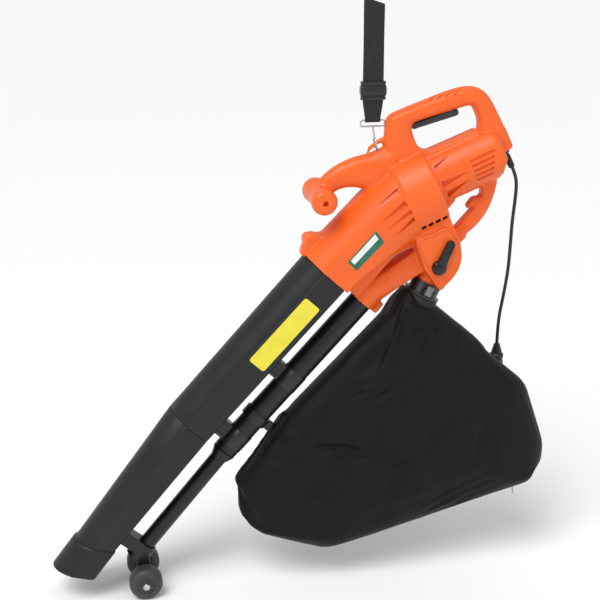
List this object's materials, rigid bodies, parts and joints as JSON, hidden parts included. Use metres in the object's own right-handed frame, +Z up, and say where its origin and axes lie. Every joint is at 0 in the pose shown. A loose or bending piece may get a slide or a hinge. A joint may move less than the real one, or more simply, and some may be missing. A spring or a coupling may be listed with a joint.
{
  "type": "leaf blower",
  "caption": "Corded leaf blower and vacuum: moulded fan and motor housing with grips, arched suction tube, blower tube on wheels, collecting bag and shoulder strap.",
  "frame": {"origin": "middle of the rear grip, on the tool's median plane", "axes": "+Z up, -X towards the nozzle, -Y to the user's left; the tubes slope down to -X as in the picture"},
  "size_m": [0.8914, 0.151, 1.0191],
  "materials": {
    "orange_shell": "semi-gloss moulded",
    "black_tube": "satin moulded",
    "wheel_plastic": "satin moulded",
    "axle_cap": "satin",
    "bag_fabric": "woven",
    "zip_tape": "woven",
    "webbing": "woven",
    "lever_black": "gloss",
    "dark_plastic": "satin",
    "steel": "zinc plated",
    "core_steel": "laminated",
    "copper": "enamelled wire",
    "rubber": "matt"
  },
  "bodies": {
    "tool": {"housing_left": "orange_shell", "housing_right": "orange_shell", "housing_screws": "steel", "trigger_pin": "steel", "switch_block": "dark_plastic", "stator_core": "core_steel", "field_windings": "copper", "front_bearing": "steel", "rear_bearing": "steel", "rear_bracket": "dark_plastic", "brush_holders": "dark_plastic", "selector_plate": "orange_shell", "vac_tube_upper": "black_tube", "vac_tube_lower": "black_tube", "nozzle_cap": "black_tube", "blower_tube_upper": "black_tube", "blower_tube_lower": "black_tube", "tube_bracket_upper": "black_tube", "tube_bracket_lower": "black_tube", "wheel_bracket": "black_tube", "axle": "steel", "axle_caps": "axle_cap", "bag_adapter": "black_tube", "strain_relief": "rubber", "lead_inner": "rubber", "cable_clamp": "dark_plastic", "bag": "bag_fabric", "bag_hook": "black_tube", "bag_zip": "zip_tape", "cord": "rubber", "plug": "rubber", "plug_pins": "steel"},
    "rotor": {"impeller": "dark_plastic", "impeller_nut": "steel", "motor_shaft": "steel", "armature_core": "core_steel", "armature_windings": "copper", "commutator": "copper", "cooling_fan": "dark_plastic"},
    "trigger": {"trigger": "dark_plastic"},
    "selector": {"selector_lever": "lever_black", "diverter_flap": "dark_plastic"},
    "wheel_left": {"wheel_left": "wheel_plastic"},
    "wheel_right": {"wheel_right": "wheel_plastic"},
    "strap": {"strap_hook": "steel", "strap_webbing": "webbing"},
    "strap_slider": {"strap_slider": "black_tube"},
    "zip_runner": {"zip_slider": "steel"},
    "zip_pull": {"zip_pull": "steel"},
    "bag_latch": {"bag_latch": "orange_shell"}
  },
  "joints": [
    {"name": "fan_spin", "type": "hinge", "parent": "tool", "child": "rotor", "pos_m": [0.02942, 0, -0.11027], "axis": [0.9205, 0, 0.3907], "continuous": true},
    {"name": "trigger_pull", "type": "hinge", "parent": "tool", "child": "trigger", "pos_m": [0.02626, 0, -0.00813], "axis": [0, 1, 0], "range_deg": [0, 8], "stiffness_Nm_per_rad": 0.6, "springref_deg": -11.46},
    {"name": "selector_turn", "type": "hinge", "parent": "tool", "child": "selector", "pos_m": [-0.0061, 0, -0.26332], "axis": [0, 1, 0], "range_deg": [0, 75]},
    {"name": "wheel_left_spin", "type": "hinge", "parent": "tool", "child": "wheel_left", "pos_m": [-0.51307, -0.038, -0.81827], "axis": [0, 1, 0], "continuous": true},
    {"name": "wheel_right_spin", "type": "hinge", "parent": "tool", "child": "wheel_right", "pos_m": [-0.51307, 0.038, -0.81827], "axis": [0, 1, 0], "continuous": true},
    {"name": "strap_swing", "type": "hinge", "parent": "tool", "child": "strap", "pos_m": [-0.10423, 0, -0.06923], "axis": [0, 1, 0], "range_deg": [-60, 0]},
    {"name": "strap_adjust", "type": "slide", "parent": "strap", "child": "strap_slider", "axis": [0, 0, 1], "range_m": [-0.02, 0.1]},
    {"name": "zip_run", "type": "slide", "parent": "tool", "child": "zip_runner", "axis": [0.9631, 0, 0.2691], "range_m": [-0.28, 0]},
    {"name": "zip_pull_swing", "type": "hinge", "parent": "zip_runner", "child": "zip_pull", "pos_m": [0.16504, 0, -0.69846], "axis": [0, 1, 0], "range_deg": [-60, 60]},
    {"name": "bag_latch_press", "type": "hinge", "parent": "tool", "child": "bag_latch", "pos_m": [-0.01456, -0.0299, -0.31595], "axis": [0.891, 0, -0.454], "range_deg": [0, 6], "stiffness_Nm_per_rad": 0.05, "springref_deg": -5.73}
  ]
}
